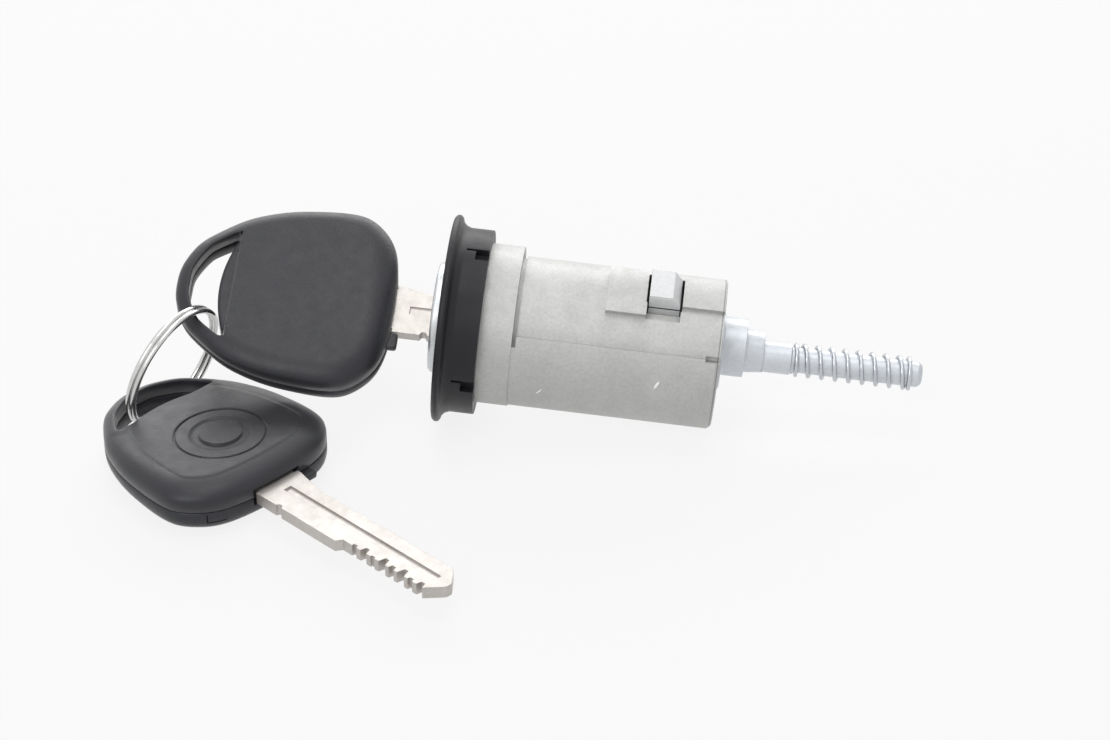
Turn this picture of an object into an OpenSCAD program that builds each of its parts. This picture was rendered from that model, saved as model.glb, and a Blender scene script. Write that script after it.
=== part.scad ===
// Ignition lock cylinder with its key in place, split ring and spare key.
// Millimetres. +X runs along the barrel axis to the tail, +Z is up.
// The origin is on the axis at the rear face of the bezel, where the locating band begins.

/* [Barrel] */
// Radius of the locating band and of the lower barrel
barrel_r = 16; // [13:0.1:20]
// Length of the barrel behind the bezel
barrel_l = 47.3; // [44:0.1:60]
// Length of the full locating band
band_l = 6.5; // [4:0.1:9]
// Radius of the relieved upper sector
relief_r = 14.2; // [13.4:0.1:15.2]
// Half angle of the relieved upper sector
relief_half = 65; // [50:1:80]
// Radius of the nose that carries the bezel
nose_r = 14; // [12.5:0.1:15]
// Length of the nose in front of the band
nose_l = 6.2; // [4:0.1:8]

/* [Bezel] */
// Radius of the bezel flange
flange_r = 20.8; // [18:0.1:25]
// Thickness of the flange rim
flange_t = 1.5; // [1:0.1:3]
// Radius of the bezel collar
collar_r = 18.5; // [17:0.1:20]
// Length of the bezel from its front face to the band
bezel_l = 8.1; // [7:0.1:10]

/* [Plug] */
// Radius of the lock plug
plug_r = 8; // [7.6:0.1:9]
// Rear end of the plug
plug_end = 41; // [39:0.1:43]
// Radius of the bright front cap
cap_r = 11.1; // [9.5:0.1:13]
// Thickness of the front cap
cap_t = 1.9; // [1.2:0.1:3]
// Spacing of the wafers
wafer_pitch = 2.5; // [2.2:0.1:2.6]
// Thickness of a wafer
wafer_t = 1; // [0.8:0.1:1.2]

/* [Latch] */
// Angle of the retaining latch from straight up towards the front
latch_angle = 14; // [0:1:30]
// Front end of the latch slot
slot_x = 31.7; // [28:0.1:34]
// Length of the latch slot
slot_l = 7.1; // [5:0.1:8]
// Radius reached by the top of the latch
latch_top = 17; // [16.3:0.1:18]
// Width of the latch across the slot
latch_w = 7.4; // [5:0.1:8]

/* [Tail] */
// Tip of the tail rod
tail_x = 87.9; // [75:0.1:100]
// Radius of the tail rod
rod_r = 2.55; // [2:0.05:3]
// Wire thickness of the tail spring
spring_wire = 0.85; // [0.5:0.05:1.2]
// Active turns of the tail spring
spring_turns = 8; // [5:1:11]

/* [Key] */
// Length of the key head
head_l = 44; // [38:0.5:50]
// Width of the key head
head_w = 40; // [36:0.5:44]
// Thickness of the key head at the ring end
head_t_ring = 6.6; // [6:0.1:8]
// Thickness of the key head at the blade end
head_t_blade = 11.2; // [9:0.1:13]
// Rounding of the key head edges
head_round = 2.9; // [2:0.1:3]
// Length of the blade outside the head
blade_l = 47.5; // [44:0.5:48]
// Width of the blade at its root
blade_root = 10.6; // [9.6:0.1:11]
// Width of the coded part of the blade
blade_w = 8; // [7:0.1:8.6]
// Thickness of the blade
blade_t = 2.5; // [2:0.1:2.8]
// Lean of the inserted key face from level towards the front
key_lean = 28; // [20:1:36]
// Gap between the key head and the front cap
key_gap = 7.9; // [6:0.1:10]

/* [Split ring] */
// Mean radius of the split ring
ring_r = 13; // [12.9:0.1:13.2]
// Wire thickness of the split ring
ring_wire = 1.2; // [0.9:0.1:1.3]

/* [Fits] */
// Running clearance of turning and sliding pieces
run_gap = 0.1; // [0.05:0.01:0.2]
// Clearance of seated pieces
seat_gap = 0.04; // [0.02:0.01:0.1]

/* [Hidden] */
$fn = 72;

cast_grey = [0.62, 0.61, 0.59];
zinc_blue = [0.66, 0.69, 0.73];
bright_steel = [0.80, 0.80, 0.80];
black_plastic = [0.13, 0.13, 0.14];
brass_tone = [0.76, 0.62, 0.34];

// Barrel
nose_x = -nose_l;
bezel_x = -bezel_l;
groove_w = 0.8;
boss_x = 23.9;
boss_high = -6;
boss_low = 38;
boss_low_rear = 27;
body_r = barrel_r - 0.25;
boss_r_rear = barrel_r - 0.8;
slot_end = slot_x + slot_l;
slot_mid_x = slot_x + slot_l / 2;
rear_bore_r = plug_r + 1.2;
wafer_count = 8;
driver_disc_l = 3.4;
clip_t = 1;
clip_x = plug_end + driver_disc_l;
clip_r = rear_bore_r + 0.8;
clip_hole = plug_r - 0.3;

// Plug
cap_x = bezel_x - run_gap - cap_t;
plug_x = cap_x + cap_t;
keyway_t = blade_t + 2 * run_gap;
keyway_root = blade_root + 2 * run_gap;
keyway_w = blade_w + 2 * run_gap;
head_x = cap_x - key_gap;
root_l = 23;
root_end = head_x + root_l;
wafer_x = root_end + 2.6;
wafer_half = plug_r - 0.9;
wafer_wide = 6.8;

// Latch
latch_l = slot_l - 2 * run_gap;
latch_floor = plug_r + 1.3;
latch_travel = 2.2;
latch_base = latch_floor + latch_travel + run_gap;
latch_ear = 0.7;
latch_ear_t = 1.3;
latch_cup_r = 1.9;
latch_cup = latch_base + 3.4;
latch_wire = 0.45;

// Tail
shaft_r = 3.15;
shaft_end = tail_x - 26.2;
lobe_angle = -33;
spring_x = shaft_end;
spring_end = tail_x - 1.9;
spring_r = rod_r + seat_gap + spring_wire / 2;

// Key head, stations run from the ring end to the blade end as shares of length and half width
head_half = head_w / 2;
head_mid = 0.56;
stations = [[0, 0], [0.007, 0.19], [0.057, 0.43], [0.107, 0.55], [0.25, 0.78], [0.36, 0.885], [0.48, 0.955],
  [0.62, 0.99], [0.74, 1], [0.82, 0.975], [0.885, 0.88], [0.945, 0.73], [0.978, 0.55], [0.995, 0.3], [1, 0]];
wedge = atan((head_t_blade - head_t_ring) / 2 / head_l);
bar_w = 2.8;
slot_mid = 8.6;
slot_far = 11.4;
slot_half = 12;
ledge_drop = 1.3;
tang_l = 14;
tang_w = 9;
chip = [12, 6, 2.6];

// Split ring and spare key keep their place to the ring end of the inserted key, level with the surface
// that the lock lies on with its flange and its rear edge
rest_tilt = 5.02;
spare_yaw = -39.2;
spare_off = [-8.44, -11.93, -19.9];
ring_off = [0.49, -11.61, -11.73];
ring_yaw = -27.8;
ring_tip = 14.4;

function mix(a, b, t) = a + (b - a) * t;
function smooth(p0, p1, p2, p3, t) = 0.5 * (2 * p1 + (p2 - p0) * t
  + (2 * p0 - 5 * p1 + 4 * p2 - p3) * t * t + (3 * p1 - p0 - 3 * p2 + p3) * t * t * t);
function station(i) = i < 0 ? [stations[-i][0], -stations[-i][1]]
  : i >= len(stations) ? [stations[2 * len(stations) - 2 - i][0], -stations[2 * len(stations) - 2 - i][1]]
  : stations[i];
function half_point(i, t) = smooth(station(i - 1), station(i), station(i + 1), station(i + 2), t);
function head_point(s) = [(s[0] - 1) * head_l, s[1] * head_half];
half_count = len(stations) - 1;
upper = [for (i = [0 : half_count - 1], t = [0, 0.5]) head_point(half_point(i, t))];
lower = [for (i = [half_count - 1 : -1 : 0], t = [1, 0.5]) let (p = head_point(half_point(i, t))) [p[0], -p[1]]];
outline = concat(upper, lower);
head_c = [(head_mid - 1) * head_l, 0];
function inset(p, d) = head_c + (p - head_c) * (1 - d / norm(p - head_c));
function half_t(x) = mix(head_t_blade, head_t_ring, -x / head_l) / 2;

module along_x(x) {
  translate([x, 0, 0])
    rotate([0, 90, 0])
      children();
}

module rod_x(r, x0, x1) {
  along_x(x0)
    cylinder(r = r, h = x1 - x0);
}

module cone_x(r0, r1, x0, x1) {
  along_x(x0)
    cylinder(r1 = r0, r2 = r1, h = x1 - x0);
}

module sector(b0, b1, r0, r1, x0, x1) {
  along_x(x0)
    rotate([0, 0, 180 + b0])
      rotate_extrude(angle = b1 - b0)
        translate([r0, 0])
          square([r1 - r0, x1 - x0]);
}

module at_angle(b) {
  rotate([b, 0, 0])
    children();
}

module coil(r, wire, length, turns, steps, sides) {
  pitch_end = wire * 1.04;
  pitch_mid = (length - wire - 2 * pitch_end) / turns;
  total = turns + 2;
  count = total * steps;
  pts = [for (i = [0 : count], j = [0 : sides - 1])
    let (u = i / steps,
      z = u < 1 ? u * pitch_end
        : u > turns + 1 ? pitch_end + turns * pitch_mid + (u - turns - 1) * pitch_end
        : pitch_end + (u - 1) * pitch_mid,
      q = r + wire / 2 * cos(360 * j / sides))
    [q * cos(360 * u), q * sin(360 * u), wire / 2 + z + wire / 2 * sin(360 * j / sides)]];
  walls = [for (i = [0 : count - 1], j = [0 : sides - 1])
    [i * sides + j, i * sides + (j + 1) % sides, (i + 1) * sides + (j + 1) % sides, (i + 1) * sides + j]];
  first = [for (j = [sides - 1 : -1 : 0]) j];
  last = [for (j = [0 : sides - 1]) count * sides + j];
  polyhedron(points = pts, faces = [for (f = concat([first], walls, [last])) [for (k = [len(f) - 1 : -1 : 0]) f[k]]]);
}

module lock_housing() {
  color(cast_grey)
    difference() {
      union() {
        rod_x(nose_r, nose_x, 0.1);
        rod_x(barrel_r, 0, band_l);
        rod_x(body_r, band_l - 0.1, barrel_l - 0.8);
        cone_x(body_r, body_r - 0.7, barrel_l - 0.8, barrel_l);
      }
      difference() {
        sector(-relief_half, relief_half, relief_r, barrel_r + 1, band_l + groove_w, barrel_l + 1);
        sector(boss_high, boss_low, relief_r - 1, barrel_r + 2, boss_x, slot_mid_x);
        sector(boss_high, boss_low_rear, relief_r - 1, boss_r_rear, slot_mid_x - 0.1, barrel_l + 2);
      }
      sector(-relief_half - 8, relief_half + 8, relief_r - 0.5, barrel_r + 1, band_l, band_l + groove_w);
      sector(relief_half - 2, relief_half + 2, relief_r - 1.2, barrel_r + 1, barrel_l - 2.8, barrel_l + 1);
      rod_x(plug_r + run_gap, nose_x - 1, plug_end + 1);
      rod_x(rear_bore_r + run_gap, plug_end, barrel_l + 1);
      rod_x(clip_r + seat_gap, clip_x, clip_x + clip_t + 2 * seat_gap);
      latch_space();
    }
}

module latch_space() {
  at_angle(latch_angle)
    union() {
      translate([slot_x, -latch_w / 2 - run_gap, latch_floor])
        cube([slot_l, latch_w + 2 * run_gap, barrel_r]);
      translate([slot_x - latch_ear, -latch_w / 2 - run_gap, latch_floor])
        cube([slot_l + 2 * latch_ear, latch_w + 2 * run_gap, latch_travel + latch_ear_t + run_gap]);
    }
  sector(latch_angle, boss_low + 1, barrel_r - 3.2, barrel_r + 1, slot_x + 0.2, slot_end - 0.2);
}

module bezel_ring() {
  hole_r = plug_r + 0.6;
  step = flange_r - collar_r;
  color(black_plastic)
    difference() {
      along_x(0)
        rotate_extrude()
          polygon([[hole_r, bezel_x], [flange_r - 0.5, bezel_x], [flange_r, bezel_x + 0.5],
            [flange_r, bezel_x + flange_t - 0.4], [flange_r - 0.4, bezel_x + flange_t],
            [flange_r - step * 0.55, bezel_x + flange_t + 0.25], [collar_r + step * 0.16, bezel_x + flange_t + 0.9],
            [collar_r, bezel_x + flange_t + 1.9], [collar_r, 0], [nose_r + seat_gap, 0],
            [nose_r + seat_gap, nose_x], [hole_r, nose_x]]);
      for (b = [13 : 90 : 283]) {
        sector(b - 5, b + 4, collar_r - 1.6, collar_r + 1, -2.6, 1);
        sector(b - 5, b - 3.4, collar_r - 0.7, collar_r + 1, bezel_x + flange_t + 2.1, -2.5);
      }
    }
}

module retaining_latch() {
  ramp = 2.6;
  color(bright_steel)
    at_angle(latch_angle)
      difference() {
        union() {
          translate([slot_x + run_gap, 0, 0])
            rotate([90, 0, 0])
              linear_extrude(latch_w, center = true)
                polygon([[0, latch_base], [latch_l, latch_base], [latch_l, latch_top - ramp],
                  [latch_l - ramp * 0.75, latch_top], [0, latch_top]]);
          translate([slot_x + run_gap - latch_ear, -latch_w / 2, latch_base])
            cube([latch_l + 2 * latch_ear, latch_w, latch_ear_t]);
        }
        translate([slot_x + slot_l / 2, 0, latch_base - 1])
          cylinder(r = latch_cup_r, h = latch_cup - latch_base + 1);
        translate([slot_x - 2, -latch_w / 2 - 1, latch_top - 1.5])
          rotate([45, 0, 0])
            cube([slot_l + 4, 1.6, 1.6], center = false);
      }
}

module latch_spring() {
  color(bright_steel)
    at_angle(latch_angle)
      translate([slot_x + slot_l / 2, 0, latch_floor])
        coil(latch_cup_r - 0.15 - latch_wire / 2, latch_wire, latch_cup - latch_floor, 5, 12, 5);
}

module rear_clip() {
  color(bright_steel)
    difference() {
      rod_x(clip_r, clip_x + seat_gap, clip_x + clip_t + seat_gap);
      rod_x(clip_hole, clip_x - 1, clip_x + 3);
      translate([clip_x - 1, -1.6, 0])
        cube([4, 3.2, 20]);
    }
}

module key_plane() {
  rotate([180 + key_lean, 0, 0])
    children();
}

module keyway() {
  key_plane()
    union() {
      translate([cap_x - 1, -keyway_root / 2, -keyway_t / 2])
        cube([root_end - cap_x + 1.4, keyway_root, keyway_t]);
      translate([cap_x, -keyway_w / 2, -keyway_t / 2])
        cube([head_x + blade_l + 1 - cap_x, keyway_w, keyway_t]);
    }
}

module wafer_box(i, gap) {
  key_plane()
    translate([wafer_x + (i - 1) * wafer_pitch - gap, -wafer_half - gap * 4, -wafer_wide / 2 - gap])
      cube([wafer_t + 2 * gap, 2 * wafer_half + gap * 8, wafer_wide + 2 * gap]);
}

module plug() {
  color(zinc_blue)
    difference() {
      union() {
        rod_x(plug_r, plug_x, plug_end);
        key_plane()
          translate([plug_end - 1, -4.5, -1.5])
            cube([2.6, 9, 3]);
      }
      keyway();
      for (i = [1 : wafer_count])
        wafer_box(i, seat_gap);
    }
}

module plug_cap() {
  color(bright_steel)
    difference() {
      union() {
        rod_x(cap_r, cap_x + 0.5, cap_x + cap_t);
        cone_x(cap_r - 0.5, cap_r, cap_x, cap_x + 0.5);
      }
      keyway();
    }
}

module wafer(i) {
  color(brass_tone)
    difference() {
      wafer_box(i, 0);
      keyway();
    }
}

module tail_driver() {
  color(zinc_blue)
    difference() {
      union() {
        rod_x(rear_bore_r, plug_end, clip_x);
        rod_x(clip_hole - run_gap, clip_x - 0.1, barrel_l + 0.6);
        at_angle(lobe_angle)
          union() {
            translate([0, 0, 1.1])
              rod_x(5.85, barrel_l + 0.5, barrel_l + 5.1);
            translate([0, 0, 0.7])
              cone_x(4.4, 4, barrel_l + 5, barrel_l + 8.8);
          }
        rod_x(shaft_r, barrel_l + 8.7, shaft_end);
        rod_x(rod_r, shaft_end - 0.1, tail_x - 0.8);
        cone_x(rod_r, rod_r - 0.7, tail_x - 0.8, tail_x);
      }
      key_plane()
        translate([plug_end - 1, -4.5 - seat_gap, -1.5 - seat_gap])
          cube([2.6 + run_gap, 9 + 2 * seat_gap, 3 + 2 * seat_gap]);
    }
}

module tail_spring() {
  color(bright_steel)
    along_x(spring_x)
      coil(spring_r, spring_wire, spring_end - spring_x, spring_turns, 20, 6);
}

module blade(side) {
  coded = blade_w / 2;
  tip = 3;
  cuts = [0.6, 1.3, 0.4, 1.6, 0.9, 1.7, 0.7, 1.2];
  color(bright_steel)
    mirror([0, side < 0 ? 1 : 0, 0])
      difference() {
        union() {
          linear_extrude(blade_t, center = true)
            polygon([[0, -blade_root / 2], [root_l - 0.8, -blade_root / 2], [root_l, -coded],
              [blade_l - tip, -coded], [blade_l - 0.8, -1.6], [blade_l, -0.6], [blade_l, 0.6], [blade_l - 0.8, 1.6],
              [blade_l - tip, coded], [root_l + 2, coded], [root_l + 1, coded - 0.2], [8, coded - 0.2],
              [1, blade_root / 2], [0, blade_root / 2]]);
          translate([-tang_l, -tang_w / 2, -blade_t / 2])
            cube([tang_l + 0.1, tang_w, blade_t]);
        }
        for (i = [0 : len(cuts) - 1])
          translate([root_l + 3.1 + i * wafer_pitch, -coded, 0])
            linear_extrude(blade_t + 1, center = true)
              polygon([[-0.5 - cuts[i] * 0.35, -0.5], [0.5 + cuts[i] * 0.35, -0.5], [0.45, cuts[i]], [-0.45, cuts[i]]]);
        for (s = [-1, 1])
          translate([3, -0.9, s * blade_t / 2])
            translate([0, 0, -0.45])
              cube([blade_l - 6, 1.8, 0.9]);
        translate([6.4, -blade_root / 2, 0])
          cylinder(r = 0.7, h = blade_t + 1, center = true);
      }
}

module half_shell() {
  ring_n = len(outline);
  arc = [0, 18, 36, 54, 72, 90];
  levels = concat([[0.25, -1, 0], [0, -1, 0.3]], [for (t = arc) [head_round * (1 - cos(t)), 1, sin(t)]]);
  pts = [for (v = levels, p = outline)
    let (q = inset(p, v[0]), h = half_t(q[0]))
    [q[0], q[1], v[1] < 0 ? v[2] : h - head_round + head_round * v[2]]];
  n = len(levels);
  walls = [for (k = [0 : n - 2], j = [0 : ring_n - 1])
    [k * ring_n + j, (k + 1) * ring_n + j, (k + 1) * ring_n + (j + 1) % ring_n, k * ring_n + (j + 1) % ring_n]];
  floor_face = [for (j = [0 : ring_n - 1]) j];
  top_face = [for (j = [ring_n - 1 : -1 : 0]) (n - 1) * ring_n + j];
  polyhedron(points = pts, faces = concat([floor_face], walls, [top_face]));
}

module ring_slot_area(edge_mid, edge_end) {
  intersection() {
    polygon([for (p = outline) inset(p, bar_w)]);
    polygon(concat([[-head_l - 1, -slot_half], [-head_l - 1, slot_half]],
      [for (k = [10 : -1 : -10]) let (y = slot_half * k / 10)
        [mix(edge_mid, edge_end, pow(y / slot_half, 2)) - head_l, y]]));
  }
}

module head_cuts() {
  linear_extrude(30, center = true)
    ring_slot_area(slot_mid, slot_far);
  translate([-tang_l - run_gap, -tang_w / 2 - run_gap, -blade_t / 2 - seat_gap])
    cube([tang_l + 5, tang_w + 2 * run_gap, blade_t + 2 * seat_gap]);
  translate([-1.6, -blade_root / 2 - 0.5, -blade_t / 2 - 0.4])
    cube([5, blade_root + 1, blade_t + 0.8]);
  translate([-tang_l - 4 - chip[0], -chip[1] / 2, -chip[2] / 2])
    translate([-seat_gap, -seat_gap, -seat_gap])
      cube([chip[0] + 2 * seat_gap, chip[1] + 2 * seat_gap, chip[2] + 2 * seat_gap]);
}

module ledge_cut() {
  translate([0, 0, head_t_blade / 2 - ledge_drop])
    rotate([0, -wedge, 0])
      linear_extrude(10)
        ring_slot_area(slot_far, slot_far);
}

module front_shell() {
  color(black_plastic)
    difference() {
      half_shell();
      head_cuts();
      ledge_cut();
      translate([head_c[0] + 3, 0, half_t(head_c[0] + 3)])
        rotate([0, -wedge, 0])
          union() {
            difference() {
              translate([0, 0, -0.35])
                cylinder(r = 9.2, h = 3);
              translate([0, 0, -1])
                cylinder(r = 8.8, h = 4);
            }
            difference() {
              translate([0, 0, -0.3])
                cylinder(r = 6.2, h = 3);
              translate([0, 0, -1])
                cylinder(r = 4.3, h = 4);
            }
          }
    }
}

module back_shell() {
  color(black_plastic)
    mirror([0, 0, 1])
      difference() {
        union() {
          half_shell();
          translate([-1.2, blade_root / 2 + 0.9, 0.1])
            cube([2.4, 2.8, 1.5]);
        }
        head_cuts();
        ledge_cut();
      }
}

module transponder() {
  color(black_plastic)
    translate([-tang_l - 4 - chip[0], -chip[1] / 2, -chip[2] / 2])
      cube(chip);
}

module in_key() {
  translate([head_x, 0, 0])
    rotate([180 + key_lean, 0, 0])
      children();
}

module at_ring_end() {
  translate([head_x - head_l, 0, 0])
    rotate([0, -rest_tilt, 0])
      children();
}

module in_spare() {
  at_ring_end()
    translate(spare_off)
      rotate([0, 0, spare_yaw])
        translate([head_l, 0, 0])
          children();
}

module split_ring() {
  color(bright_steel)
    at_ring_end()
      translate(ring_off)
        rotate([0, 0, ring_yaw])
          rotate([0, 90 + ring_tip, 0])
            difference() {
              rotate_extrude()
                union() {
                  translate([ring_r, ring_wire * 0.48])
                    circle(d = ring_wire, $fn = 24);
                  translate([ring_r, -ring_wire * 0.48])
                    circle(d = ring_wire, $fn = 24);
                }
              rotate([0, 0, 100])
                translate([ring_r - 2, -0.2, 0.15])
                  cube([4, 0.4, 4]);
              rotate([0, 0, 75])
                translate([ring_r - 2, -0.2, -4.15])
                  cube([4, 0.4, 4]);
            }
}

lock_housing();
bezel_ring();
retaining_latch();
latch_spring();
rear_clip();
plug();
plug_cap();
wafer(1);  // wafer_1
wafer(2);  // wafer_2
wafer(3);  // wafer_3
wafer(4);  // wafer_4
wafer(5);  // wafer_5
wafer(6);  // wafer_6
wafer(7);  // wafer_7
wafer(8);  // wafer_8
tail_driver();
tail_spring();
in_key() blade(-1);  // key_blade
in_key() front_shell();  // key_front_shell
in_key() back_shell();  // key_back_shell
in_key() transponder();  // key_transponder
split_ring();
in_spare() blade(1);  // spare_blade
in_spare() front_shell();  // spare_front_shell
in_spare() back_shell();  // spare_back_shell
in_spare() transponder();  // spare_transponder
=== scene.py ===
import math

import bmesh
import bpy
import numpy as np
from mathutils import Matrix, Vector
from mathutils.geometry import delaunay_2d_cdt

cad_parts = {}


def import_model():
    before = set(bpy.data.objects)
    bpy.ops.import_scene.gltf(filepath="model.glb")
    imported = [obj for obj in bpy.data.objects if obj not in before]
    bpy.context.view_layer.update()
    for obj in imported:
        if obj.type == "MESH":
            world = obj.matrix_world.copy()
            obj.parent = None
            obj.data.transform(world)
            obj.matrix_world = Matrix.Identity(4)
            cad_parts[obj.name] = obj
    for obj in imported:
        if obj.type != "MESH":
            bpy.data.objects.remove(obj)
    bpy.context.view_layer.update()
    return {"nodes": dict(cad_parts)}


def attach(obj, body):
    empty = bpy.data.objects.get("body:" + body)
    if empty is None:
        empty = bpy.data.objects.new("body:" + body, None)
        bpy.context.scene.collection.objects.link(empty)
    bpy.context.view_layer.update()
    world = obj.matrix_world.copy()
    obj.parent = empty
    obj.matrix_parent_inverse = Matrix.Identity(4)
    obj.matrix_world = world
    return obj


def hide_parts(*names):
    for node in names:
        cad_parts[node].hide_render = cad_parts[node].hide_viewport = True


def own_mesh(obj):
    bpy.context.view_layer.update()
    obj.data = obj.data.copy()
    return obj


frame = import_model()
nodes = frame["nodes"]
scene = bpy.context.scene
MM = 0.001

# Sizes shared with part.scad, in millimetres and degrees
BARREL_R, BARREL_L = 16.0, 47.3
FLANGE_R, FLANGE_T, BEZEL_L = 20.8, 1.5, 8.1
REST_TILT = 5.02
HEAD_L, HEAD_W, HEAD_MID = 44.0, 40.0, 0.56
HEAD_T_RING, HEAD_T_BLADE = 6.6, 11.2
BAR_W, SLOT_MID, SLOT_FAR, SLOT_HALF = 2.8, 8.6, 11.4, 12.0
LEDGE_DROP = 1.3
HEAD_X, KEY_LEAN = -18.0, 28.0
SPARE_OFF, SPARE_YAW = (-8.44, -11.93, -19.9), -39.2
RING_OFF, RING_YAW, RING_TIP = (0.49, -11.61, -11.73), -27.8, 14.4
RING_R, RING_WIRE = 13.0, 1.2
BLADE_T, BLADE_ROOT = 2.5, 10.6
TAIL_X, ROD_R, SEAT_GAP = 87.9, 2.55, 0.04
SPRING_X, SPRING_END = TAIL_X - 26.2, TAIL_X - 1.9
SPRING_WIRE, SPRING_TURNS = 0.85, 8
LATCH_SLOT, LATCH_SLOT_L, LATCH_W = 31.7, 7.1, 7.4
LATCH_ANGLE, LATCH_TRAVEL = math.radians(14), 2.2
LATCH_FLOOR, LATCH_EAR_TOP = 9.3, 12.9
LATCH_CUP_R, LATCH_WIRE, LATCH_COIL_L = 1.9, 0.45, 5.7
WAFERS = 8

# Outline of a key head: share of the length from the ring end, share of the half width
STATIONS = [(0, 0), (0.007, 0.19), (0.057, 0.43), (0.107, 0.55), (0.25, 0.78), (0.36, 0.885),
            (0.48, 0.955), (0.62, 0.99), (0.74, 1), (0.82, 0.975), (0.885, 0.88), (0.945, 0.73),
            (0.978, 0.55), (0.995, 0.3), (1, 0)]

# Places of the table, the keys, the ring and the latch
FLANGE_X = FLANGE_T / 2 - BEZEL_L
TILT = math.atan((FLANGE_R - BARREL_R) / (BARREL_L - FLANGE_X))
TABLE = Matrix.Translation(Vector((FLANGE_X, 0, -FLANGE_R)) * MM) @ Matrix.Rotation(-TILT, 4, "Y")
KEY = Matrix.Translation((HEAD_X * MM, 0, 0)) @ Matrix.Rotation(math.radians(180 + KEY_LEAN), 4, "X")
RING_END = (Matrix.Translation(((HEAD_X - HEAD_L) * MM, 0, 0))
            @ Matrix.Rotation(-math.radians(REST_TILT), 4, "Y"))
SPARE = (RING_END @ Matrix.Translation(Vector(SPARE_OFF) * MM)
         @ Matrix.Rotation(math.radians(SPARE_YAW), 4, "Z") @ Matrix.Translation((HEAD_L * MM, 0, 0)))
RING = (RING_END @ Matrix.Translation(Vector(RING_OFF) * MM)
        @ Matrix.Rotation(math.radians(RING_YAW), 4, "Z")
        @ Matrix.Rotation(math.radians(90 + RING_TIP), 4, "Y"))
LATCH_X = (LATCH_SLOT + LATCH_SLOT_L / 2) * MM
LATCH_OUT = Vector((0, -math.sin(LATCH_ANGLE), math.cos(LATCH_ANGLE)))
LATCH_TURN = Matrix.Rotation(LATCH_ANGLE, 4, "X")


def link(name, data):
    """New object in the scene."""
    ob = bpy.data.objects.new(name, data)
    scene.collection.objects.link(ob)
    return ob


# Camera at the photograph's viewing angle
PHOTO_W, PHOTO_H = 1110, 740
CAMERA_AZ, CAMERA_EL, CAMERA_DIST = math.radians(4.9), math.radians(33.0), 617.0
FOCAL_PX, SENSOR_W = 3083.0, 36
AIM, AIM_PX = Vector((-5.7, 0, 0)), (456, 319)


def place_camera():
    level = math.cos(CAMERA_EL)
    back = Vector((math.sin(CAMERA_AZ) * level, -math.cos(CAMERA_AZ) * level, math.sin(CAMERA_EL)))
    right = Vector((math.cos(CAMERA_AZ), math.sin(CAMERA_AZ), 0))
    up = back.cross(right)
    turn = TABLE.to_3x3()
    back, right, up = turn @ back, turn @ right, turn @ up
    shift_x = (AIM_PX[0] - PHOTO_W / 2) / FOCAL_PX * CAMERA_DIST
    shift_y = (PHOTO_H / 2 - AIM_PX[1]) / FOCAL_PX * CAMERA_DIST
    data = bpy.data.cameras.new("camera")
    data.sensor_width = SENSOR_W
    data.lens = FOCAL_PX / PHOTO_W * SENSOR_W
    data.clip_start, data.clip_end = 0.05, 20
    place = Matrix((right, up, back)).transposed().to_4x4()
    place.translation = (AIM + back * CAMERA_DIST - right * shift_x - up * shift_y) * MM
    camera = link("camera", data)
    camera.matrix_world = place
    scene.camera = camera


place_camera()


# Material helpers
def new_material(name):
    mat = bpy.data.materials.new(name)
    mat.use_nodes = True
    return mat, mat.node_tree, mat.node_tree.nodes["Principled BSDF"]


def add(tree, kind, **values):
    n = tree.nodes.new(kind)
    for k, v in values.items():
        if k in n.inputs:
            n.inputs[k].default_value = v
        else:
            setattr(n, k, v)
    return n


def grey(level):
    return (level, level, level)


def noise(tree, scale, detail=4.0, rough=0.6, stretch=None):
    src = add(tree, "ShaderNodeTexCoord").outputs["Object"]
    if stretch:
        mapping = add(tree, "ShaderNodeMapping", Scale=stretch)
        tree.links.new(src, mapping.inputs["Vector"])
        src = mapping.outputs["Vector"]
    n = add(tree, "ShaderNodeTexNoise", Scale=scale, Detail=detail, Roughness=rough)
    tree.links.new(src, n.inputs["Vector"])
    return n.outputs["Fac"]


def ramp(tree, fac, stops):
    """Colour ramp with two stops."""
    r = add(tree, "ShaderNodeValToRGB")
    for element, (place, colour) in zip(r.color_ramp.elements, stops):
        element.position = place
        element.color = (*colour, 1)
    tree.links.new(fac, r.inputs["Fac"])
    return r.outputs["Color"]


def mix_colour(tree, kind, fac, a, b):
    """Mix node's result; fac is a number or a socket, a and b are colours or sockets."""
    m = add(tree, "ShaderNodeMix", data_type="RGBA", blend_type=kind)
    if isinstance(fac, float):
        m.inputs[0].default_value = fac
    else:
        tree.links.new(fac, m.inputs[0])
    for sock, v in ((m.inputs[6], a), (m.inputs[7], b)):
        if isinstance(v, tuple):
            sock.default_value = (*v, 1)
        else:
            tree.links.new(v, sock)
    return m.outputs[2]


def calc(tree, op, a, b=0.0, c=0.0):
    """Math node's result; each value is a float or a socket."""
    m = add(tree, "ShaderNodeMath", operation=op)
    for sock, v in zip(m.inputs, (a, b, c)):
        if isinstance(v, float):
            sock.default_value = v
        else:
            tree.links.new(v, sock)
    return m.outputs[0]


def bump(tree, shader, height, strength, distance, before=None):
    b = add(tree, "ShaderNodeBump", Strength=strength, Distance=distance)
    tree.links.new(height, b.inputs["Height"])
    if before:
        tree.links.new(before, b.inputs["Normal"])
    tree.links.new(b.outputs["Normal"], shader.inputs["Normal"])
    return b.outputs["Normal"]


def set_rough(tree, shader, scale, low, high):
    """Roughness that wanders between two levels."""
    level = ramp(tree, noise(tree, scale), [(0.3, grey(low)), (0.8, grey(high))])
    tree.links.new(level, shader.inputs["Roughness"])


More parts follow.
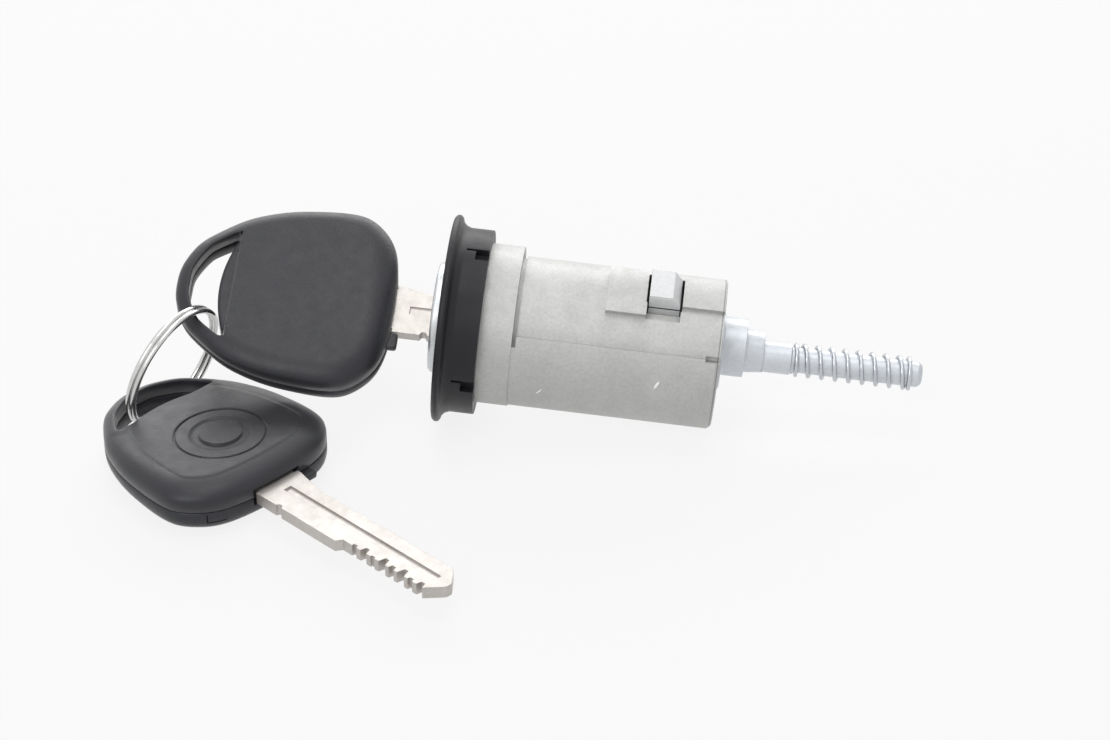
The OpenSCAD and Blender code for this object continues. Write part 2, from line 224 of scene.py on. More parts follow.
# Masks in a piece's own frame, with their sizes in millimetres
# Near-black colour of the painted shade on the latch slot's end walls, at the latch's ends in its gaps and
# in its groove
PAINTED_SHADE = grey(0.012)
WALL_REACH, WALL_FACING = 0.4, 0.8
LATCH_GAP, GAP_MARGIN, GAP_FLOOR = 0.45, 0.03, 0.1
LATCH_LINE, LATCH_LINE_W, LATCH_LINE_DEEP = 13.8, 0.36, 0.25
REAR_LINE, REAR_LINE_W, REAR_LINE_SHADE = 0.4, 0.24, 0.55
SCRATCH_DEEP = 0.8
SCRATCHES = [((12.07, -14.59, -5.93), (13.39, -15.22, -4.06), 0.16),
             ((35.06, -15.73, -0.75), (36.07, -15.68, 1.46), 0.34)]


def along_x(tree):
    """Place along the barrel axis and the normal's part in that direction."""
    coord = add(tree, "ShaderNodeTexCoord")
    out = []
    for kind in ("Object", "Normal"):
        xyz = add(tree, "ShaderNodeSeparateXYZ")
        tree.links.new(coord.outputs[kind], xyz.inputs[0])
        out.append(xyz.outputs["X"])
    return out


def from_latch(tree, x):
    """Distance along the barrel from the middle of the latch."""
    return calc(tree, "ABSOLUTE", calc(tree, "SUBTRACT", x, LATCH_X))


def slot_wall_shade(tree):
    """End walls of the latch slot, which get painted shade."""
    x, n = along_x(tree)
    at_wall = calc(tree, "COMPARE", from_latch(tree, x), LATCH_SLOT_L / 2 * MM, WALL_REACH * MM)
    facing = calc(tree, "GREATER_THAN", calc(tree, "ABSOLUTE", n), WALL_FACING)
    return calc(tree, "MULTIPLY", at_wall, facing)


def latch_gap_shade(tree):
    """Painted shade on the latch: its ends in the gaps beside it, down to their floor, and the groove
    across its front.
    """
    x, _ = along_x(tree)
    gap_from = (LATCH_SLOT_L / 2 - LATCH_GAP - GAP_MARGIN) * MM
    ends = calc(tree, "GREATER_THAN", from_latch(tree, x), gap_from)
    coord = add(tree, "ShaderNodeTexCoord")
    height = add(tree, "ShaderNodeVectorMath", operation="DOT_PRODUCT")
    tree.links.new(coord.outputs["Object"], height.inputs[0])
    height.inputs[1].default_value = LATCH_OUT
    groove = calc(tree, "COMPARE", height.outputs["Value"], LATCH_LINE * MM, LATCH_LINE_W / 2 * MM)
    return calc(tree, "MAXIMUM", ends, groove)


def rear_line(tree):
    """Line around the barrel next to its rear edge."""
    x, _ = along_x(tree)
    return calc(tree, "COMPARE", x, (BARREL_L - REAR_LINE) * MM, REAR_LINE_W / 2 * MM)


def scratch(tree, start, end, half_width):
    """Short scratch on the barrel between two points in millimetres."""
    a, b = Vector(start) * MM, Vector(end) * MM
    mid = (a + b) / 2
    along = (b - a).normalized()
    side = Vector((0, mid.y, mid.z)).normalized().cross(along).normalized()
    coord = add(tree, "ShaderNodeTexCoord")
    mapping = add(tree, "ShaderNodeMapping", vector_type="TEXTURE")
    mapping.inputs["Location"].default_value = mid
    turn = Matrix((along, side, along.cross(side))).transposed()
    mapping.inputs["Rotation"].default_value = turn.to_euler()
    mapping.inputs["Scale"].default_value = ((b - a).length / 2, half_width * MM, SCRATCH_DEEP * MM)
    tree.links.new(coord.outputs["Object"], mapping.inputs["Vector"])
    far = add(tree, "ShaderNodeVectorMath", operation="LENGTH")
    tree.links.new(mapping.outputs[0], far.inputs[0])
    return ramp(tree, far.outputs["Value"], [(0.55, grey(1)), (1.0, grey(0))])


# Materials
def plastic(name, dark, light, rough, grain, gloss=0.28, haze=0.0):
    mat, tree, sh = new_material(name)
    base = ramp(tree, noise(tree, 90, 3, 0.5), [(0.3, dark), (0.75, light)])
    dust = ramp(tree, noise(tree, 900, 6, 0.75), [(0.70, grey(0)), (0.80, (0.35, 0.35, 0.36))])
    tree.links.new(mix_colour(tree, "ADD", 0.10, base, dust), sh.inputs["Base Color"])
    set_rough(tree, sh, 400, rough - 0.06, rough + 0.08)
    fine = bump(tree, sh, noise(tree, 2600, 2, 0.5), grain, 0.00012)
    bump(tree, sh, noise(tree, 700, 3), grain * 0.5, 0.0002, fine)
    sh.inputs["Specular IOR Level"].default_value = gloss
    sh.inputs["Sheen Weight"].default_value = haze
    sh.inputs["Sheen Roughness"].default_value = 0.45
    return mat


def metal(name, dark, light, rough, metallic, grain, scale, stretch=None, painted_shade_mask=None):
    mat, tree, sh = new_material(name)
    base = ramp(tree, noise(tree, 120, 5), [(0.25, dark), (0.8, light)])
    fine = noise(tree, scale, 5, 0.65, stretch)
    shade = ramp(tree, fine, [(0.25, grey(0.86)), (0.75, grey(1.0))])
    col = mix_colour(tree, "MULTIPLY", 1.0, base, shade)
    # Painted shade mixed into the colour where the mask says
    if painted_shade_mask:
        col = mix_colour(tree, "MIX", painted_shade_mask(tree), col, PAINTED_SHADE)
    tree.links.new(col, sh.inputs["Base Color"])
    sh.inputs["Metallic"].default_value = metallic
    set_rough(tree, sh, 500, rough - 0.07, rough + 0.08)
    bump(tree, sh, fine, grain, 0.0001)
    return mat


def cast(name):
    mat, tree, sh = new_material(name)
    col = ramp(tree, noise(tree, 70, 5), [(0.25, (0.53, 0.53, 0.52)), (0.8, (0.64, 0.64, 0.63))])
    grit = noise(tree, 1700, 6, 0.75)
    shade = ramp(tree, grit, [(0.3, grey(0.80)), (0.7, grey(1.0))])
    pits = ramp(tree, noise(tree, 620, 3, 0.5), [(0.22, grey(0.80)), (0.30, grey(1.0))])
    col = mix_colour(tree, "MULTIPLY", 1.0, col, shade)
    col = mix_colour(tree, "MULTIPLY", 1.0, col, pits)
    for start, end, half_width in SCRATCHES:
        col = mix_colour(tree, "MIX", scratch(tree, start, end, half_width), col, (0.98, 0.98, 0.97))
    col = mix_colour(tree, "MIX", calc(tree, "MULTIPLY", rear_line(tree), REAR_LINE_SHADE), col, grey(0.10))
    # Painted shade on the end walls of the latch slot
    col = mix_colour(tree, "MIX", slot_wall_shade(tree), col, PAINTED_SHADE)
    tree.links.new(col, sh.inputs["Base Color"])
    sh.inputs["Metallic"].default_value = 0.6
    set_rough(tree, sh, 300, 0.52, 0.68)
    fine = bump(tree, sh, grit, 0.28, 0.0001)
    bump(tree, sh, noise(tree, 480, 3), 0.18, 0.00025, fine)
    return mat


MAT = {
    "cast": cast("cast_zinc"),
    "bezel": plastic("bezel_plastic", (0.015, 0.015, 0.018), (0.021, 0.021, 0.025), 0.42, 0.12),
    "head": plastic("head_plastic", (0.017, 0.0175, 0.023), (0.024, 0.0245, 0.032), 0.42, 0.30, 0.42, 0.40),
    "driver": metal("driver_zinc", (0.64, 0.67, 0.71), (0.76, 0.79, 0.83), 0.42, 0.55, 0.22, 1300),
    "cap": metal("cap_steel", (0.70, 0.72, 0.74), (0.82, 0.84, 0.86), 0.33, 0.7, 0.06, 1800, (0.2, 1, 1)),
    "blade": metal("blade_nickel", (0.52, 0.49, 0.46), (0.63, 0.60, 0.57), 0.42, 0.7, 0.05, 1500),
    "ring": metal("ring_nickel", (0.58, 0.58, 0.57), (0.72, 0.72, 0.71), 0.22, 0.95, 0.05, 1500),
    "spring": metal("spring_steel", (0.52, 0.54, 0.57), (0.66, 0.68, 0.71), 0.30, 0.9, 0.05, 1500),
    # The latch steel has painted shade at its ends in the gaps and in its groove
    "latch": metal("latch_steel", (0.86, 0.87, 0.88), (0.95, 0.96, 0.97), 0.40, 0.2, 0.08, 1400,
                   painted_shade_mask=latch_gap_shade),
    "plug": metal("plug_zinc", (0.52, 0.53, 0.55), (0.64, 0.65, 0.67), 0.45, 0.6, 0.15, 1400),
    "wafer": metal("wafer_brass", (0.55, 0.42, 0.20), (0.68, 0.54, 0.28), 0.35, 0.9, 0.06, 1400),
    "chip": plastic("chip_resin", grey(0.02), grey(0.03), 0.5, 0.1),
}


# The solids that stay, each with its material and the width of its softened edges
DRESS = [("lock_housing", "cast", 0.22), ("bezel_ring", "bezel", 0.12), ("rear_clip", "spring", 0.1),
         ("plug", "plug", 0.0), ("plug_cap", "cap", 0.15), ("tail_driver", "driver", 0.2),
         ("key_blade", "blade", 0.12), ("spare_blade", "blade", 0.12),
         ("key_transponder", "chip", 0.2), ("spare_transponder", "chip", 0.2)]
DRESS += [("wafer_%d" % i, "wafer", 0.0) for i in range(1, WAFERS + 1)]
WELD, EDGE_SEGMENTS, SHADE_WEIGHT = 1e-6, 2, 60
FLAT_ANGLE, EDGE_ANGLE = math.radians(0.6), math.radians(35)


def soften(ob, mat, bevel):
    """Material, rounded edges and smooth shading, by modifiers."""
    ob.data.materials.clear()
    ob.data.materials.append(MAT[mat])
    weld = ob.modifiers.new("weld", "WELD")
    weld.merge_threshold = WELD
    flat = ob.modifiers.new("flat", "DECIMATE")
    flat.decimate_type = "DISSOLVE"
    flat.angle_limit = FLAT_ANGLE
    if bevel:
        edge = ob.modifiers.new("edge", "BEVEL")
        edge.width = bevel * MM
        edge.segments = EDGE_SEGMENTS
        edge.limit_method = "ANGLE"
        edge.angle_limit = EDGE_ANGLE
        edge.use_clamp_overlap = True
    shade = ob.modifiers.new("shade", "WEIGHTED_NORMAL")
    shade.keep_sharp = True
    shade.weight = SHADE_WEIGHT


for node, mat, bevel in DRESS:
    soften(nodes[node], mat, bevel)


# Mesh helpers
def to_mesh(name, verts, faces):
    me = bpy.data.meshes.new(name)
    me.from_pydata([tuple(v) for v in verts], [], faces)
    return me


def to_object(name, verts, faces, mat, sharp):
    me = to_mesh(name, verts, faces)
    me.update()
    me.materials.append(MAT[mat])
    me.shade_smooth()
    me.set_sharp_from_angle(angle=math.radians(sharp))
    return link(name, me)


def step(x, lo, hi):
    """Smooth step from 0 at lo to 1 at hi."""
    t = np.clip((x - lo) / (hi - lo), 0, 1)
    return t * t * (3 - 2 * t)


def box_mesh(lo, hi):
    verts = [(x, y, z) for x in (lo[0], hi[0]) for y in (lo[1], hi[1]) for z in (lo[2], hi[2])]
    return verts, [(0, 1, 3, 2), (4, 6, 7, 5), (0, 4, 5, 1), (2, 3, 7, 6), (0, 2, 6, 4), (1, 5, 7, 3)]


def grid_faces(rows, cols):
    """Quads between rows of points that close on themselves."""
    faces = []
    for i in range(rows - 1):
        for j in range(cols):
            k = (j + 1) % cols
            faces.append((i * cols + j, i * cols + k, (i + 1) * cols + k, (i + 1) * cols + j))
    return faces


def cut(ob, verts, faces):
    tool = link("cutter", to_mesh("cutter", verts, faces))
    mod = ob.modifiers.new("cut", "BOOLEAN")
    mod.operation = "DIFFERENCE"
    mod.solver = "MANIFOLD"
    mod.object = tool
    done = bpy.data.meshes.new_from_object(ob.evaluated_get(bpy.context.evaluated_depsgraph_get()))
    ob.modifiers.clear()
    ob.data = done
    bpy.data.objects.remove(tool)


# Springs and ring
CLOSED_PITCH, WIRE_SHARP = 1.04, 50
LATCH_TURNS, LATCH_CUP_PLAY = 5, 0.15


def wind(name, path, r, wire, mat, place, sides):
    """Round wire about the z axis; path gives its angle and height at each step."""
    verts = []
    for angle, z in path:
        for j in range(sides):
            t = 2 * math.pi * j / sides
            out, up = r + wire / 2 * math.cos(t), z + wire / 2 * math.sin(t)
            verts.append(Vector((out * math.cos(angle), out * math.sin(angle), up)) * MM)
    last = (len(path) - 1) * sides
    caps = [tuple(range(sides - 1, -1, -1)), tuple(last + j for j in range(sides))]
    ob = to_object(name, verts, grid_faces(len(path), sides) + caps, mat, WIRE_SHARP)
    ob.data.transform(place)
    return ob


def coil_path(wire, length, turns, steps):
    """A closed turn at each end and open turns between."""
    closed = wire * CLOSED_PITCH
    pitch = (length - wire - 2 * closed) / turns
    path = []
    for i in range((turns + 2) * steps + 1):
        u = i / steps
        open_turns = min(max(u - 1, 0), turns)
        path.append((2 * math.pi * u, wire / 2 + (u - open_turns) * closed + open_turns * pitch))
    return path


tail_coil = wind("tail_coil", coil_path(SPRING_WIRE, SPRING_END - SPRING_X, SPRING_TURNS, steps=48),
                 ROD_R + SEAT_GAP + SPRING_WIRE / 2, SPRING_WIRE, "spring",
                 Matrix.Translation((SPRING_X * MM, 0, 0)) @ Matrix.Rotation(math.pi / 2, 4, "Y"), sides=14)
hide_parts("tail_spring")
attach(tail_coil, "core")

# The latch's coil stands on the floor of its pocket
latch_foot = Vector((LATCH_X, 0, 0)) + LATCH_OUT * (LATCH_FLOOR * MM)
latch_coil = wind("latch_coil", coil_path(LATCH_WIRE, LATCH_COIL_L, LATCH_TURNS, steps=32),
                  LATCH_CUP_R - LATCH_CUP_PLAY - LATCH_WIRE / 2, LATCH_WIRE, "spring",
                  Matrix.Translation(latch_foot) @ LATCH_TURN, sides=10)
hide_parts("latch_spring")
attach(latch_coil, "housing")
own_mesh(latch_coil)

RING_STEPS, RING_SHARE, RING_START = 220, 0.985, math.radians(98)
RING_LIFT, RING_CROSS = 0.48 * RING_WIRE, (0.90, 1.07)


def ring_path():
    """Two turns side by side, with a short stretch that crosses from one to the other."""
    path = []
    for i in range(2 * RING_STEPS + 1):
        u = i / RING_STEPS * RING_SHARE
        path.append((2 * math.pi * u + RING_START, RING_LIFT * (2 * step(u, *RING_CROSS) - 1)))
    return path


key_ring = wind("key_ring", ring_path(), RING_R, RING_WIRE, "ring", RING, sides=14)
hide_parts("split_ring")
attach(key_ring, "ring")


# The latch is cut from a copy of its solid: open gaps at both ends and a groove across its front
CUT_OVER, GAP_TOP, LATCH_BEVEL = 1, LATCH_EAR_TOP + 8, 0.1


def latch_bolt():
    solid = nodes["retaining_latch"]
    ob = link("latch_bolt", solid.data.copy())
    ob.matrix_world = solid.matrix_world
    bm = bmesh.new()
    bm.from_mesh(ob.data)
    bmesh.ops.remove_doubles(bm, verts=bm.verts, dist=WELD)
    bm.to_mesh(ob.data)
    bm.free()
    x0, x1 = LATCH_SLOT, LATCH_SLOT + LATCH_SLOT_L
    before, after, half = x0 - CUT_OVER, x1 + CUT_OVER, LATCH_W / 2
    near, far, low = -half - CUT_OVER, half + CUT_OVER, LATCH_EAR_TOP + GAP_FLOOR
    line_low, line_high = LATCH_LINE - LATCH_LINE_W / 2, LATCH_LINE + LATCH_LINE_W / 2
    for lo, hi in (((before, near, low), (x0 + LATCH_GAP, far, GAP_TOP)),
                   ((x1 - LATCH_GAP, near, low), (after, far, GAP_TOP)),
                   ((before, near, line_low), (after, LATCH_LINE_DEEP - half, line_high))):
        verts, faces = box_mesh(lo, hi)
        cut(ob, [LATCH_TURN @ (Vector(v) * MM) for v in verts], faces)
    soften(ob, "latch", LATCH_BEVEL)
    return ob


latch = latch_bolt()
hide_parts("retaining_latch")
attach(latch, "latch")


# Key heads: a height field over the outline, rounded at the rim and at the ring slot
SHOULDER, SHOULDER_MORE, SHOULDER_FROM, SHOULDER_TO, SHOULDER_SHARE = 4.4, 2.2, -16, -4, 0.62
LIP, CRESCENT_FROM = 0.5, -0.2
BROW_X, BROW_HALF, BROW_POINTS = SLOT_FAR - HEAD_L, 11.8, 60
BROW_LOW, BROW_HIGH = BROW_X - 0.35, BROW_X + 0.25
THIN, SEAM_Z, SEAM_DEEP, FLOOR_Z, ON_RIM = 0.35, 0.32, 0.28, 0.02, 0.02
OUTLINE_GAP, OUTLINE_PASSES = 0.5, 16
SLOT_GAP, SLOT_PASSES, SLOT_POINTS, SLOT_LEAST = 0.25, 9, 161, 0.1
RING_HALF, EMBLEM_OFF = -0.55 * HEAD_L, 3
HEAD_SHARP, POLE_MERGE = 48, 1e-5

# Rows of points beside the rim, the slot and the brow of the recess, and the grid between them
RIM_ROWS = (0.05, 0.15, 0.35, 0.65, 1.0, 1.5, 2.1, 2.8, 3.5, 4.1, 4.5, 4.75, 5.0, 5.25, 5.6)
LIP_ROWS = (0.1, 0.25, 0.5, 0.8, 1.2)
BROW_ROWS = (-0.35, -0.15, 0.05, 0.25, 0.5)
GRID_X, GRID_Y = 0.75, 0.86
RIM_CLEAR, LIP_CLEAR, EDGE_CLEAR = 5.9, 1.5, 0.05

# Emblem on the front shell by radius: button, moat, outer groove, and the rows of points for them
BUTTON_EDGE, BUTTON_UP = (4.15, 4.45), 0.32
MOAT_IN, MOAT_OUT, MOAT_DEEP = (4.2, 4.5), (5.9, 6.2), 0.22
GROOVE_IN, GROOVE_OUT, GROOVE_DEEP = (8.65, 8.85), (9.05, 9.3), 0.38
FACE_RIM, FACE_LIP, FACE_DROP = (4.55, 5.2), (0.8, 2.5), 0.14
EMBLEM_ROWS = (3.9, 4.15, 4.3, 4.45, 4.7, 5.3, 5.9, 6.1, 6.25, 6.4, 6.7,
               8.4, 8.65, 8.8, 8.95, 9.1, 9.25, 9.4, 9.65)
EMBLEM_POINTS = 96
EMBLEM_CORE, EMBLEM_LAND, EMBLEM_END = 3.6, (6.9, 8.1), 9.9

# Mouth for the blade, and on the back shell a U-shaped mark and a small tab beside the blade
MOUTH_DEEP, MOUTH_SIDE, MOUTH_LOW, MOUTH_HIGH, PAST_END = 1.6, 0.5, 0.4, 0.75, 4
MARK_Y, MARK_FROM = -13.4, -6
MARK_HALF, MARK_LINE, MARK_DEEP, MARK_LOW, MARK_TOPS = 2.3, 0.25, 0.55, -2.35, (-0.3, -0.9)
TAB_PLACE, TAB_HALF, TAB_SQUARE = (0.0, BLADE_ROOT / 2 + 2.1, -0.85), (1.5, 1.8, 0.75), 0.35


def smooth_curve(pts, per):
    """Curve through the points of one half, mirrored at both ends."""
    pts = np.array(pts, float)
    ext = np.concatenate([[pts[1] * [1, -1]], pts, [pts[-2] * [1, -1]]])
    out = []
    for i in range(1, len(ext) - 2):
        p0, p1, p2, p3 = ext[i - 1:i + 3]
        for t in np.arange(per) / per:
            out.append(0.5 * (2 * p1 + (p2 - p0) * t + (2 * p0 - 5 * p1 + 4 * p2 - p3) * t * t
                              + (3 * p1 - p0 - 3 * p2 + p3) * t ** 3))
    out.append(pts[-1])
    return np.array(out)


def even(loop, gap, passes):
    """Closed loop resampled at even gaps and smoothed."""
    loop = np.concatenate([loop, loop[:1]])
    run = np.r_[0, np.cumsum(np.linalg.norm(np.diff(loop, axis=0), axis=1))]
    at = np.arange(0, run[-1] - gap / 2, gap)
    loop = np.c_[np.interp(at, run, loop[:, 0]), np.interp(at, run, loop[:, 1])]
    for _ in range(passes):
        loop = loop * 0.5 + (np.roll(loop, 1, 0) + np.roll(loop, -1, 0)) * 0.25
    return loop


HALF = smooth_curve(STATIONS, per=8)
HALF = np.c_[(HALF[:, 0] - 1) * HEAD_L, HALF[:, 1] * HEAD_W / 2]
OUTLINE = even(np.concatenate([HALF, (HALF * [1, -1])[::-1][1:-1]]), OUTLINE_GAP, OUTLINE_PASSES)
CENTRE = np.array([(HEAD_MID - 1) * HEAD_L, 0])
EMBLEM = np.array([CENTRE[0] + EMBLEM_OFF, 0])


def inset(p, d):
    """Points moved towards the middle of the head."""
    return CENTRE + (p - CENTRE) * (1 - d / np.linalg.norm(p - CENTRE, axis=1))[:, None]


def half_t(x):
    return (HEAD_T_BLADE + (HEAD_T_RING - HEAD_T_BLADE) * (-x / HEAD_L)) / 2


def slot_far(y):
    """Edge of the slot on the blade's side."""
    return SLOT_MID + (SLOT_FAR - SLOT_MID) * (y / SLOT_HALF) ** 2 - HEAD_L


def slot_outline():
    ring_end = inset(HALF, BAR_W)
    ring_end = ring_end[ring_end[:, 0] < RING_HALF]
    ys = np.linspace(-SLOT_HALF, SLOT_HALF, SLOT_POINTS)
    near = np.interp(np.abs(ys), ring_end[:, 1], ring_end[:, 0])
    far = slot_far(ys)
    ok = near < far - SLOT_LEAST
    ys, near, far = ys[ok], near[ok], far[ok]
    return even(np.concatenate([np.c_[near, ys], np.c_[far, ys][::-1]]), SLOT_GAP, SLOT_PASSES)


def to_line(p, loop):
    """Distance of points from a closed loop, worked out in blocks."""
    block = 400
    a, b = loop, np.roll(loop, -1, 0)
    ab = b - a
    ll = (ab ** 2).sum(1) + 1e-12
    out = np.empty(len(p))
    for i in range(0, len(p), block):
        q = p[i:i + block, None] - a[None]
        t = np.clip((q * ab).sum(2) / ll, 0, 1)
        out[i:i + block] = np.sqrt(((q - t[..., None] * ab) ** 2).sum(2)).min(1)
    return out


def inside(p, loop):
    a, b = loop, np.roll(loop, -1, 0)
    x, y = p[:, :1], p[:, 1:]
    spans = (a[:, 1] > y) != (b[:, 1] > y)
    crossing = (b[:, 0] - a[:, 0]) * (y - a[:, 1]) / (b[:, 1] - a[:, 1] + 1e-12) + a[:, 0]
    return (spans & (x < crossing)).sum(1) % 2 == 1


def outward(loop):
    """Unit normals that point out of a closed loop."""
    along = np.roll(loop, -1, 0) - np.roll(loop, 1, 0)
    normal = np.c_[along[:, 1], -along[:, 0]] / np.linalg.norm(along, axis=1)[:, None]
    return -normal if inside((loop + normal * EDGE_CLEAR)[:1], loop)[0] else normal


SLOT = slot_outline()
SLOT_NORMAL = outward(SLOT)


def rounding(d, across, deep):
    """Drop of a rounded edge at a distance from it."""
    k = np.clip(1 - d / across, 0, 1)
    return deep * (1 - np.sqrt(np.maximum(1 - k * k, 0)))


def head_points(front):
    """The outline, the slot and the points between them."""
    rows = [inset(OUTLINE, d) for d in RIM_ROWS] + [SLOT + SLOT_NORMAL * d for d in LIP_ROWS]
    cross = np.linspace(-BROW_HALF, BROW_HALF, BROW_POINTS)
    rows += [np.c_[np.full(BROW_POINTS, BROW_X + d), cross] for d in BROW_ROWS]
    grid = np.array([(x, y + (GRID_Y / 2 if i % 2 else 0))
                     for i, x in enumerate(np.arange(-HEAD_L, 0, GRID_X))
                     for y in np.arange(-HEAD_W / 2, HEAD_W / 2, GRID_Y)])
    clear = (to_line(grid, OUTLINE) > RIM_CLEAR) & (to_line(grid, SLOT) > LIP_CLEAR)
    grid = grid[inside(grid, OUTLINE) & clear]
    if front:
        r = np.linalg.norm(grid - EMBLEM, axis=1)
        land = (r > EMBLEM_LAND[0]) & (r < EMBLEM_LAND[1])
        grid = grid[(r < EMBLEM_CORE) | land | (r > EMBLEM_END)]
        t = np.linspace(0, 2 * np.pi, EMBLEM_POINTS, endpoint=False)
        rows += [EMBLEM + radius * np.c_[np.cos(t), np.sin(t)] for radius in EMBLEM_ROWS]
    pts = np.concatenate([grid] + rows)
    clear = (to_line(pts, OUTLINE) > EDGE_CLEAR) & (to_line(pts, SLOT) > EDGE_CLEAR)
    pts = pts[inside(pts, OUTLINE) & ~inside(pts, SLOT) & clear]
    return np.concatenate([OUTLINE, SLOT, pts])


def triangulate(pts):
    """Triangles between the outline and the slot."""
    no, ns = len(OUTLINE), len(SLOT)
    edges = [(i, (i + 1) % no) for i in range(no)] + [(no + i, no + (i + 1) % ns) for i in range(ns)]
    found, _, tris, _, _, _ = delaunay_2d_cdt([Vector(p) for p in pts], edges, [], 0, 1e-4)
    v = np.array([tuple(p) for p in found])
    mid = np.array([v[list(t)].mean(0) for t in tris])
    good = inside(mid, OUTLINE) & ~inside(mid, SLOT)
    return v, [tuple(t) for t, g in zip(tris, good) if g]


def head_height(v, d_rim, d_slot, front):
    x, y = v[:, 0], v[:, 1]
    h = half_t(x)
    shoulder = SHOULDER + SHOULDER_MORE * step(x, SHOULDER_FROM, SHOULDER_TO)
    z = h - rounding(d_rim, shoulder, SHOULDER_SHARE * h) - rounding(d_slot, LIP, LIP)
    crescent = (np.abs(y) < SLOT_HALF) & (x - slot_far(y) > CRESCENT_FROM)
    z = np.where(crescent, z - LEDGE_DROP * (1 - step(x, BROW_LOW, BROW_HIGH)), z)
    if front:
        r = np.linalg.norm(v - EMBLEM, axis=1)
        z = z - GROOVE_DEEP * step(r, *GROOVE_IN) * (1 - step(r, *GROOVE_OUT))
        z = z - MOAT_DEEP * step(r, *MOAT_IN) * (1 - step(r, *MOAT_OUT))
        z = z + BUTTON_UP * (1 - step(r, *BUTTON_EDGE))
        z = z - FACE_DROP * (1 - step(d_rim, *FACE_RIM)) * step(d_slot, *FACE_LIP)
    return np.maximum(z, THIN)


def close_shell(v, z, tops, d_rim):
    """Solid under the height field, with a groove along its parting edges."""
    n, no, ns = len(v), len(OUTLINE), len(SLOT)
    under = v.copy()
    on_rim = d_rim < ON_RIM
    under[on_rim] = inset(v[on_rim], SEAM_DEEP)
    under[no:no + ns] += SLOT_NORMAL * SEAM_DEEP
    verts = [(p[0], p[1], q) for p, q in zip(v, z)] + [(p[0], p[1], FLOOR_Z) for p in under]
    faces = tops + [tuple(i + n for i in f[::-1]) for f in tops]
    sides = {(a, b) for f in tops for a, b in zip(f, f[1:] + f[:1])}
    seam = {}
    for a, b in sorted(e for e in sides if (e[1], e[0]) not in sides):
        for i in (a, b):
            if i not in seam:
                seam[i] = len(verts)
                verts.append((v[i][0], v[i][1], SEAM_Z))
        faces.append((b, a, seam[a], seam[b]))
        faces.append((seam[b], seam[a], a + n, b + n))
    return verts, faces


def cut_mark(ob):
    """U-shaped mark in the rim beside the blade."""
    blade_end = OUTLINE[OUTLINE[:, 0] >= MARK_FROM]
    corner = blade_end[np.argmin(np.abs(blade_end[:, 1] - MARK_Y))]
    out = (corner - CENTRE) / np.linalg.norm(corner - CENTRE)
    place = Matrix(((out[0], -out[1], 0, corner[0]), (out[1], out[0], 0, corner[1]),
                    (0, 0, 1, 0), (0, 0, 0, 1)))
    for y0, y1, top in ((-MARK_HALF, MARK_HALF, MARK_LOW + MARK_LINE),
                        (-MARK_HALF, MARK_LINE - MARK_HALF, MARK_TOPS[0]),
                        (MARK_HALF - MARK_LINE, MARK_HALF, MARK_TOPS[1])):
        verts, faces = box_mesh((-MARK_DEEP, y0, MARK_LOW), (CUT_OVER, y1, top))
        cut(ob, [place @ Vector(p) for p in verts], faces)


def bend(t):
    return math.copysign(abs(t) ** TAB_SQUARE, t)


def tab_mesh():
    """Small tab with rounded edges."""
    rows, cols = 12, 24
    verts = []
    for i in range(rows + 1):
        a = math.pi * (i / rows - 0.5)
        for j in range(cols):
            b = 2 * math.pi * j / cols
            level = bend(math.cos(a))
            shape = (level * bend(math.cos(b)), level * bend(math.sin(b)), bend(math.sin(a)))
            verts.append(tuple(c + s * k for c, s, k in zip(TAB_PLACE, TAB_HALF, shape)))
    return verts, grid_faces(rows + 1, cols)


def join(ob, verts, faces):
    bm = bmesh.new()
    bm.from_mesh(ob.data)
    bm.from_mesh(to_mesh("extra", verts, faces))
    bmesh.ops.remove_doubles(bm, verts=bm.verts, dist=POLE_MERGE)
    bm.to_mesh(ob.data)
    bm.free()


def head_shell(name, front):
    v, tops = triangulate(head_points(front))
    d_rim, d_slot = to_line(v, OUTLINE), to_line(v, SLOT)
    verts, faces = close_shell(v, head_height(v, d_rim, d_slot, front), tops, d_rim)
    if not front:
        verts = [(x, y, -z) for x, y, z in verts]
        faces = [f[::-1] for f in faces]
    ob = to_object(name, verts, faces, "head", HEAD_SHARP)
    side = BLADE_ROOT / 2 + MOUTH_SIDE
    cut(ob, *box_mesh((-MOUTH_DEEP, -side, -BLADE_T / 2 - MOUTH_LOW),
                      (PAST_END, side, BLADE_T / 2 + MOUTH_HIGH)))
    if not front:
        cut_mark(ob)
        join(ob, *tab_mesh())
    ob.data.transform(Matrix.Scale(MM, 4))
    ob.data.shade_smooth()
    ob.data.set_sharp_from_angle(angle=math.radians(HEAD_SHARP))
    return ob


for prefix, place, body in (("key", KEY, "key"), ("spare", SPARE, "spare")):
    for side in ("front", "back"):
        ob = head_shell("%s_head_%s" % (prefix, side), side == "front")
        ob.data.transform(place)
        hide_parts("%s_%s_shell" % (prefix, side))
        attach(ob, body)


# Floor, light and background, with places in metres
FLOOR_HALF, FLOOR_DROP = 3.0, 0.0004
FLOOR_CLEAR = 0.85
WORLD_LIGHT, WORLD_WHITE = 0.25, 1.0
LAMP_AIM = (0, 0, 0.02)


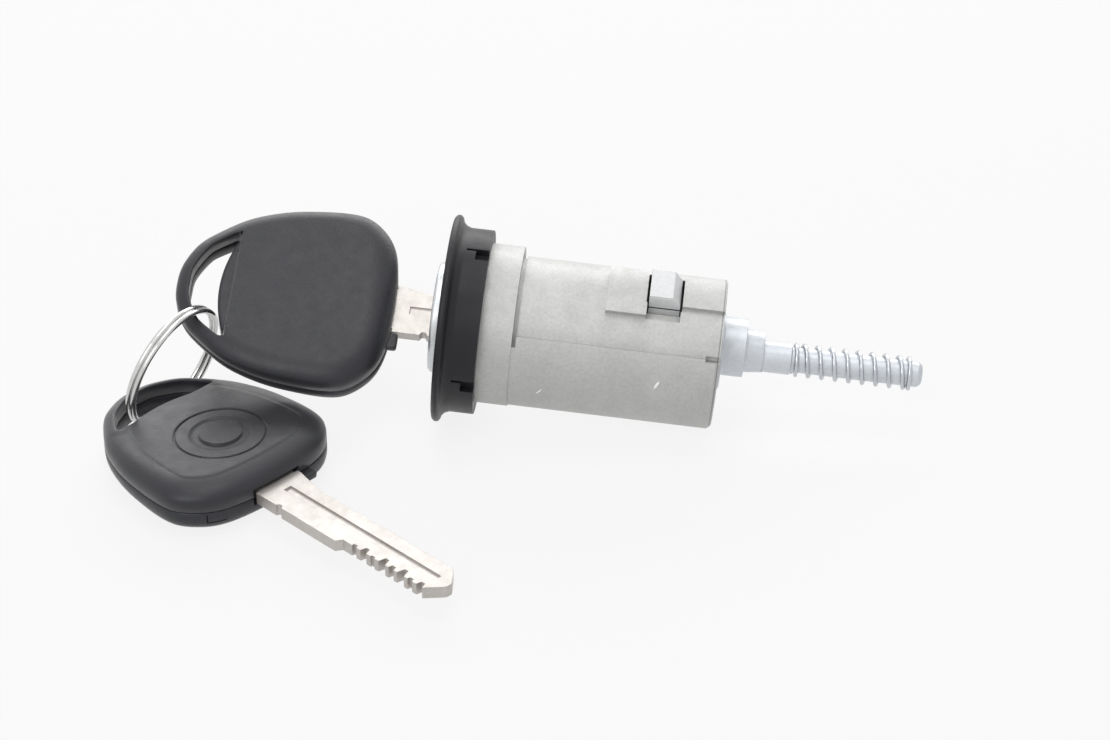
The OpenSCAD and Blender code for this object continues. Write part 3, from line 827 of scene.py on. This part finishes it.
def background_rays(tree):
    """1 for the rays that show the background: camera, glossy and transmission."""
    path = add(tree, "ShaderNodeLightPath")
    fac = path.outputs["Is Camera Ray"]
    for kind in ("Is Glossy Ray", "Is Transmission Ray"):
        fac = calc(tree, "MAXIMUM", fac, path.outputs[kind])
    return fac


def mix_shaders(tree, fac, a, b, output):
    mixer = add(tree, "ShaderNodeMixShader")
    for i, sock in enumerate((fac, a.outputs[0], b.outputs[0])):
        tree.links.new(sock, mixer.inputs[i])
    tree.links.new(mixer.outputs[0], tree.nodes[output].inputs["Surface"])


def stage():
    s, z = FLOOR_HALF, -FLOOR_DROP
    corners = [TABLE @ Vector(p) for p in ((-s, -s, z), (s, -s, z), (s, s, z), (-s, s, z))]
    ob = link("floor", to_mesh("floor", corners, [(0, 1, 2, 3)]))
    mat, tree, sh = new_material("floor_white")
    sh.inputs["Base Color"].default_value = (0.80, 0.80, 0.80, 1)
    sh.inputs["Roughness"].default_value = 0.9
    sh.inputs["Specular IOR Level"].default_value = 0.1
    seen = calc(tree, "MULTIPLY", background_rays(tree), FLOOR_CLEAR)
    mix_shaders(tree, seen, sh, add(tree, "ShaderNodeBsdfTransparent"), "Material Output")
    ob.data.materials.append(mat)


def world():
    studio = bpy.data.worlds.new("studio")
    scene.world = studio
    studio.use_nodes = True
    tree = studio.node_tree
    light = tree.nodes["Background"]
    white = add(tree, "ShaderNodeBackground")
    for shader, strength in ((light, WORLD_LIGHT), (white, WORLD_WHITE)):
        shader.inputs["Color"].default_value = (1, 1, 1, 1)
        shader.inputs["Strength"].default_value = strength
    mix_shaders(tree, background_rays(tree), light, white, "World Output")


def lamp(name, place, size, power):
    data = bpy.data.lights.new(name, "AREA")
    data.shape = "RECTANGLE"
    data.size, data.size_y = size
    data.energy = power
    ob = link(name, data)
    place, aim = TABLE @ Vector(place), TABLE @ Vector(LAMP_AIM)
    ob.location = place
    ob.rotation_euler = (aim - place).to_track_quat("-Z", "Y").to_euler()


stage()
world()
lamp("back", (0.0, 0.74, 0.44), (1.2, 0.5), 5.0)
lamp("top", (0.0, -0.02, 0.9), (0.7, 0.45), 2.1)
lamp("front", (-0.35, -0.8, 0.75), (0.6, 0.6), 3.2)

scene.view_settings.view_transform = "Standard"
